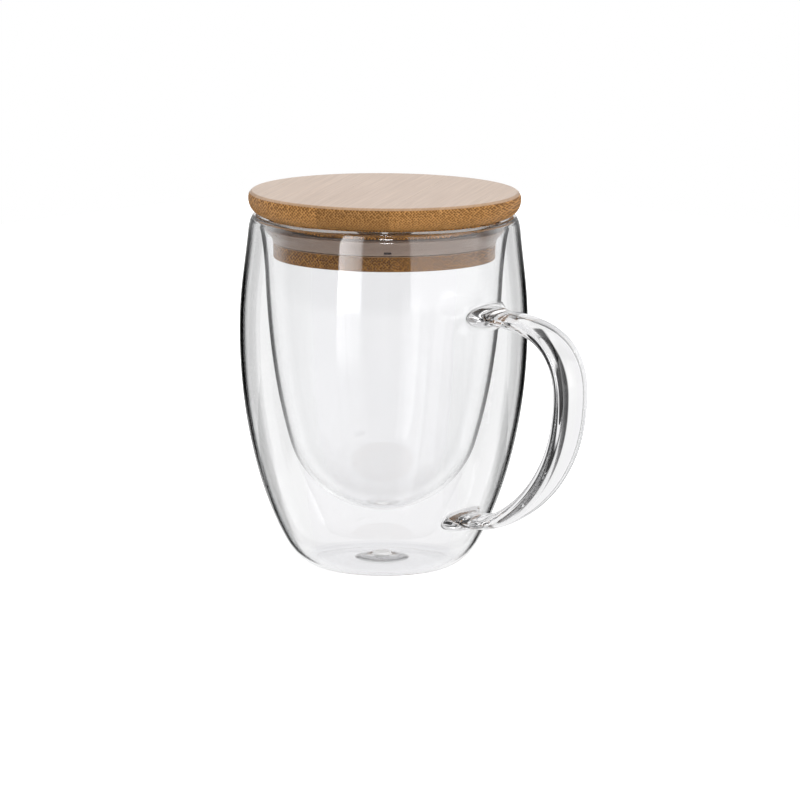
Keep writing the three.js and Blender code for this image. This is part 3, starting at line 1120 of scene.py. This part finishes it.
def makeSilicone(name, look, slitShade=None):
    material, tree, shader = newMaterial(name)
    place = objectPlace(tree)
    cloud = addNoise(tree, place, look["cloudScale"], Detail=look["cloudDetail"])
    colour = look["colour"]
    paler = tuple(min(1, value * look["paler"]) for value in colour)
    final = addMix(tree, cloud, colour, paler)
    # painted shade: a slit's dark opening, drawn into the seal's colour
    if slitShade:
        spans = (
            (cameraSide, cameraSide.dot(mugAxis) + slitShade["right"], slitShade["halfWidth"]),
            (Vector((0, 0, 1)), slitShade["height"], slitShade["halfHeight"]),
            (-cameraAway, -cameraAway.dot(mugAxis) + sealRadius, sealRadius),
        )
        inside = 1.0
        for axis, middle, half in spans:
            within = addMath(tree, "COMPARE", addVector(tree, "DOT_PRODUCT", place, axis), middle, half)
            inside = addMath(tree, "MULTIPLY", inside, within)
        final = addMix(tree, inside, final, slitShade["colour"])
    rough, spread = look["roughness"], look["roughSpread"]
    setInputs(tree, shader, {
        "Base Color": final,
        "Roughness": addRange(tree, cloud, 0, 1, rough - spread, rough + spread),
        "IOR": look["refraction"],
    })
    return material


# painted shade: a near-black mark for a slit's dark opening in the seal, on the side towards the camera;
# no slit is cut in the seal
slitShadeMark = {
    "right": 1.05 * mm,
    "halfWidth": 1.2 * mm,
    "height": 108.6 * mm,
    "halfHeight": 0.38 * mm,
    "colour": (0.02, 0.008, 0.004),
}
milkyLook = {
    "colour": (0.30, 0.222, 0.178),
    "paler": 1.06,
    "roughness": 0.4,
    "roughSpread": 0.05,
    "cloudScale": 180,
    "cloudDetail": 3,
    "refraction": 1.41,
}
whiteLook = {**milkyLook, "colour": (0.97, 0.97, 0.965), "roughness": 0.45}
milkySilicone = makeSilicone("milkySilicone", milkyLook, slitShadeMark)
whiteSilicone = makeSilicone("whiteSilicone", whiteLook)
addPiece("sealRing", turnProfile("sealRing", sealProfile(seal), seal["segments"], milkySilicone),
         milkySilicone, "seal", "milky_silicone", "seal_ring")

# vent plug in the base
vent = {
    "gap": 0.1 * mm,
    "round": 0.25 * mm,
    "roundSteps": 4,
    "tip": 2.8 * mm,
    "barbReach": 0.8 * mm,
    "segments": 48,
}
ventLow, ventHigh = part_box("vent_plug")


def ventProfile(size):
    head = (ventHigh.y - ventLow.y) / 2
    headTop = glass["baseUnderside"] - size["gap"]
    stem = glass["ventHole"] - size["gap"]
    barbLow = glass["baseUnderside"] + glass["outerWall"] + size["gap"]
    barbTop = ventHigh.z
    soft = size["round"]
    return joinRuns(
        [(0, ventLow.z)],
        bend((head - soft, ventLow.z), (head - soft / 2, ventLow.z), (head, ventLow.z + soft / 2),
             (head, ventLow.z + soft), size["roundSteps"]),
        [
            (head, headTop),
            (stem, headTop),
            (stem, barbLow),
            (glass["ventHole"] + size["barbReach"], barbLow),
            (size["tip"], barbTop),
            (0, barbTop),
        ],
    )


addPiece("ventPlug", turnProfile("ventPlug", ventProfile(vent), vent["segments"], whiteSilicone),
         whiteSilicone, "mug", "white_silicone", "vent_plug")

# floor: white all round, with the mug's faint shadow close to it
studio = {
    "floorHalf": 0.7,
    "floorColour": (0.62, 0.62, 0.62),
    "floorGrain": (0.59, 0.59, 0.595),
    "floorGrainScale": 400,
    "liftNear": 0.64,
    "liftFar": 1.0,
    "liftRadius": 0.26,
    "ambient": 0.56,
    "backWhite": 0.93,
    "tableWhite": 0.7,
    "tableInside": 0.14,
    "roomDark": 0.05,
    "ceilingWhite": 1.0,
    "ceilingLow": 11,
    "deepWhite": 1.15,
    "deepShare": 0.2,
    "insideDepth": (2, 3),
    "deepDepth": (6, 7),
    "roomSoft": 2,
    "besideTo": -8,
    "besideLow": -8.5,
    "besideSoft": 1.5,
    "frontRange": (-0.5, -0.2),
    "ledTurns": (6, 12),
    "ledLight": 0.5,
    "cardTint": (0.995, 0.99, 1),
    "leftBox": {
        "from": -38,
        "to": -18.5,
        "fromSoft": 0.7,
        "toSoft": 1.5,
        "strength": 7.0,
        "farShare": 0.4,
        "tableStrength": 1.8,
    },
    "rightBox": {
        "from": 22,
        "to": 90,
        "fromSoft": 1.5,
        "toSoft": 6,
        "strength": 1.7,
        "farShare": 1.0,
        "tableStrength": 0.35,
    },
    "glint": {
        "from": -4,
        "to": 7,
        "sideSoft": 1,
        "bands": ((14, 16), (26, 29), (48, 53)),
        "bandSoft": 0.5,
        "strength": 12,
    },
    "boxLow": 0.5,
    "boxLowSoft": 1.5,
    "boxHigh": 40,
    "boxHighSoft": 3,
    "tableLow": -12,
    "tableSoft": 4,
}
# how often light has been turned inside the glass, as limits between whole counts
neverTurned = 0.5
turnedTwice = 1.5


def makeFloor(size):
    half = size["floorHalf"]
    corners = [(-half, -half, 0), (half, -half, 0), (half, half, 0), (-half, half, 0)]
    mesh = bpy.data.meshes.new("floor")
    mesh.from_pydata(corners, [], [(0, 1, 2, 3)])
    floor = showObject("floor", mesh)
    material, tree, shader = newMaterial("paleFloor")
    place = objectPlace(tree)
    grain = addNoise(tree, place, size["floorGrainScale"])
    lift = addRange(tree, addVector(tree, "DISTANCE", place, mugAxis), 0.0, size["liftRadius"],
                    size["liftNear"], size["liftFar"], smooth=True)
    path = addNode(tree, "ShaderNodeLightPath").outputs
    setInputs(tree, shader, {
        "Base Color": addMix(tree, grain, size["floorColour"], size["floorGrain"]),
        "Roughness": 0.9,
        "Specular IOR Level": 0.0,
        "Emission Color": (1, 1, 1),
        "Emission Strength": addMath(tree, "MULTIPLY", path["Is Camera Ray"], lift),
    })
    mesh.materials.append(material)
    floor.visible_glossy = False
    floor.visible_transmission = False
    floor.visible_shadow = False


makeFloor(studio)

# flags: glowing cards behind the mug for the white panel's darkened sides, hidden from the camera itself
flag = {
    "behind": 0.28,
    "near": 0.035,
    "softTo": 0.085,
    "hardTo": 0.099,
    "bodyFar": 0.23,
    "far": 0.6,
    "low": -0.25,
    "high": 0.45,
    "cardColour": (0.004, 0.004, 0.004),
    "shade": {-1: 1.08, 1: 1.02},
    "fadeLow": 0.062,
    "fadeHigh": 0.09,
    "topShare": 0.6,
    "foot": {-1: (-0.105, -0.05), 1: (-0.13, -0.055)},
    "bowlDepth": (4, 5),
    "throughDepth": (6, 7),
    "bowlHigh": 0.03,
    "bowlLow": -0.05,
    "bowlLift": 0.5,
    "strapFrom": 0.102,
    "strapTo": 0.12,
    "strapFoot": {-1: (-0.24, -0.2), 1: (-0.2, -0.13)},
    "strapDepth": 2.5,
    "mirrorDepth": 0.5,
    "mirrorHigh": -0.08,
    "turnedLow": -0.01,
    "turnedHigh": 0.004,
}


def makeFlagMaterial(name, size, direction, shade):
    material, tree, shader = newMaterial(name)
    place = objectPlace(tree)
    lateral = addVector(tree, "DOT_PRODUCT", addVector(tree, "SUBTRACT", place, mugAxis),
                        cameraSide * direction)
    height = splitParts(tree, place)[2]
    path = addNode(tree, "ShaderNodeLightPath").outputs
    depth = path["Transmission Depth"]
    # what the mug's walls show: a soft start, a hard dark edge, paler at the shoulder and below the foot
    soft = addRange(tree, lateral, size["near"], size["softTo"], 1, shade)
    hard = addRange(tree, lateral, size["softTo"], size["hardTo"], 1, 0, smooth=True)
    dark = addMath(tree, "SUBTRACT", 1.0, addMath(tree, "MULTIPLY", soft, hard))
    bowl = addRange(tree, depth, *size["bowlDepth"])
    paler = addRange(tree, height, size["bowlHigh"], size["bowlLow"], 0, size["bowlLift"])
    for share in (
        addRange(tree, height, size["fadeLow"], size["fadeHigh"], 1, size["topShare"]),
        addRange(tree, height, *size["foot"][direction]),
        addMath(tree, "LESS_THAN", lateral, size["bodyFar"]),
        addMath(tree, "SUBTRACT", 1.0, addMath(tree, "MULTIPLY", bowl, paler)),
        addRange(tree, depth, *size["throughDepth"], 1, 0),
    ):
        dark = addMath(tree, "MULTIPLY", dark, share)
    # what the strap of the handle and the wall's own edge show
    low = addMath(tree, "LESS_THAN", height, size["mirrorHigh"])
    counted = addMath(tree, "MAXIMUM", low, addMath(tree, "GREATER_THAN", depth, size["mirrorDepth"]))
    alone = addMath(tree, "MULTIPLY", counted, addMath(tree, "LESS_THAN", depth, size["strapDepth"]))
    strapDark = addMath(tree, "MULTIPLY",
                        addRange(tree, lateral, size["strapFrom"], size["strapTo"], smooth=True),
                        addRange(tree, height, *size["strapFoot"][direction]))
    dark = addRange(tree, alone, 0, 1, dark, strapDark)
    # light turned twice inside the glass sees the card dark above the table
    turned = addMath(tree, "GREATER_THAN", path["Glossy Depth"], turnedTwice)
    raised = addRange(tree, height, size["turnedLow"], size["turnedHigh"])
    dark = addMath(tree, "MAXIMUM", dark, addMath(tree, "MULTIPLY", turned, raised))
    white = addMath(tree, "SUBTRACT", 1.0, dark)
    setInputs(tree, shader, {
        "Base Color": size["cardColour"],
        "Specular IOR Level": 0.0,
        "Emission Color": (1, 1, 1),
        "Emission Strength": addMath(tree, "MULTIPLY", white, studio["backWhite"]),
    })
    return material


def makeFlags(size):
    for name, direction in (("leftFlag", -1), ("rightFlag", 1)):
        shade = size["shade"][direction]
        corners = []
        for side, height in (("near", "low"), ("far", "low"), ("far", "high"), ("near", "high")):
            corners.append(mugAxis + cameraAway * size["behind"] + cameraSide * direction * size[side]
                           + Vector((0, 0, size[height])))
        mesh = bpy.data.meshes.new(name)
        mesh.from_pydata(corners, [], [(0, 1, 2, 3)])
        mesh.materials.append(makeFlagMaterial(name, size, direction, shade))
        card = showObject(name, mesh)
        card.visible_camera = False
        card.visible_diffuse = False
        card.visible_shadow = False


makeFlags(flag)


# world: a white panel behind, and grey on the camera's side with two soft boxes and three glints;
# only light in the glass and in gloss sees them
def makeWorld(size):
    world = bpy.data.worlds.new("studio")
    bpy.context.scene.world = world
    world.use_nodes = True
    tree = world.node_tree
    tree.nodes.clear()
    direction = addNode(tree, "ShaderNodeTexCoord").outputs["Generated"]

    def step(value, angle, soft, before=0, after=1):
        return addRange(tree, value, math.radians(angle - soft), math.radians(angle + soft),
                        before, after, smooth=True)

    def window(value, low, high, lowSoft, highSoft):
        return addMath(tree, "MULTIPLY", step(value, low, lowSoft), step(value, high, highSoft, 1, 0))

    toCamera = addVector(tree, "DOT_PRODUCT", direction, -cameraAway)
    toSide = addVector(tree, "DOT_PRODUCT", direction, cameraSide)
    bearing = addMath(tree, "ARCTAN2", toSide, toCamera)
    elevation = addMath(tree, "ARCSINE", addVector(tree, "DOT_PRODUCT", direction, (0, 0, 1)))
    path = addNode(tree, "ShaderNodeLightPath").outputs
    turns = path["Glossy Depth"]
    # light that has been through the far walls as well meets a paler, more even room
    inside = addRange(tree, path["Transmission Depth"], *size["insideDepth"])
    deep = addRange(tree, path["Transmission Depth"], *size["deepDepth"])
    table = addRange(tree, inside, 0, 1, size["tableWhite"], size["tableInside"])
    near = step(elevation, size["boxLow"], size["roomSoft"], table, size["roomDark"])
    ceiling = step(elevation, size["ceilingLow"], size["roomSoft"], 0, size["ceilingWhite"])
    near = addMath(tree, "MULTIPLY_ADD", ceiling, inside, near)
    glint = size["glint"]
    for low, high in glint["bands"]:
        spark = addMath(tree, "MULTIPLY",
                        window(bearing, glint["from"], glint["to"], glint["sideSoft"], glint["sideSoft"]),
                        window(elevation, low, high, glint["bandSoft"], glint["bandSoft"]))
        near = addMath(tree, "MULTIPLY_ADD", spark, glint["strength"], near)
    front = addRange(tree, deep, 0, 1, near, size["deepWhite"])
    boxShare = addRange(tree, deep, 0, 1, 1, size["deepShare"])
    for box in (size["leftBox"], size["rightBox"]):
        start, end = box["from"], box["to"]
        across = window(bearing, start, end, box["fromSoft"], box["toSoft"])
        fading = addRange(tree, bearing, math.radians(start), math.radians(end), 1, box["farShare"])
        across = addMath(tree, "MULTIPLY", across, fading)
        upper = window(elevation, size["boxLow"], size["boxHigh"], size["boxLowSoft"], size["boxHighSoft"])
        lower = window(elevation, size["tableLow"], size["boxLow"], size["tableSoft"], size["boxLowSoft"])
        level = addMath(tree, "MULTIPLY", upper, box["strength"])
        level = addMath(tree, "MULTIPLY_ADD", lower, box["tableStrength"], level)
        level = addMath(tree, "MULTIPLY", level, boxShare)
        front = addMath(tree, "MULTIPLY_ADD", across, level, front)
    # what is seen straight through the walls from any side stays white
    straight = addMath(tree, "LESS_THAN", turns, neverTurned)
    straight = addMath(tree, "MULTIPLY", straight, inside)
    front = addRange(tree, straight, 0, 1, front, size["backWhite"])
    # light turned twice inside the handle's strap sees the dark beside the panel
    turned = addMath(tree, "GREATER_THAN", turns, turnedTwice)
    beside = addMath(tree, "MULTIPLY", step(toSide, size["besideTo"], size["besideSoft"], 1, 0),
                     step(elevation, size["besideLow"], size["besideSoft"]))
    back = addRange(tree, addMath(tree, "MULTIPLY", turned, beside), 0, 1, size["backWhite"], 0)
    frontShare = addRange(tree, toCamera, *size["frontRange"], smooth=True)
    light = addRange(tree, frontShare, 0, 1, back, front)
    # light led along the wall by many turns comes out of the rim as an even grey
    led = addRange(tree, turns, *size["ledTurns"])
    light = addRange(tree, led, 0, 1, light, size["ledLight"])
    seen = addNode(tree, "ShaderNodeBackground", {"Color": (1, 1, 1)})
    cards = addNode(tree, "ShaderNodeBackground", {"Color": size["cardTint"], "Strength": light})
    soft = addNode(tree, "ShaderNodeBackground", {"Color": (1, 1, 1), "Strength": size["ambient"]})
    glassRay = addMath(tree, "MAXIMUM", path["Is Glossy Ray"], path["Is Transmission Ray"])
    first = mixShaders(tree, glassRay, soft, cards)
    second = mixShaders(tree, path["Is Camera Ray"], first, seen)
    addNode(tree, "ShaderNodeOutputWorld", {"Surface": second.outputs[0]})


makeWorld(studio)

lamps = {
    "key": {"side": -0.7, "away": -1.0, "height": 0.24, "size": 0.7, "power": 4},
    "top": {"side": 0.1, "away": 0.2, "height": 1.4, "size": 1.2, "power": 10},
    "fill": {"side": 1.1, "away": -0.7, "height": 0.2, "size": 0.7, "power": 5},
}
lampAim = mugAxis + Vector((0, 0, 80 * mm))
for lampName, lamp in lamps.items():
    data = bpy.data.lights.new(lampName, "AREA")
    data.shape = "SQUARE"
    data.size = lamp["size"]
    data.energy = lamp["power"]
    shown = showObject(lampName, data)
    spot = mugAxis + cameraSide * lamp["side"] + cameraAway * lamp["away"] + Vector((0, 0, lamp["height"]))
    shown.location = spot
    shown.rotation_euler = (lampAim - spot).to_track_quat("-Z", "Y").to_euler()
    shown.visible_glossy = False
    shown.visible_transmission = False
print("studio lit")

scene = bpy.context.scene
scene.view_settings.view_transform = "Standard"
scene.cycles.max_bounces = 400
scene.cycles.transmission_bounces = 100
scene.cycles.glossy_bounces = 300
scene.cycles.transparent_max_bounces = 32
scene.cycles.caustics_refractive = False
scene.cycles.caustics_reflective = False
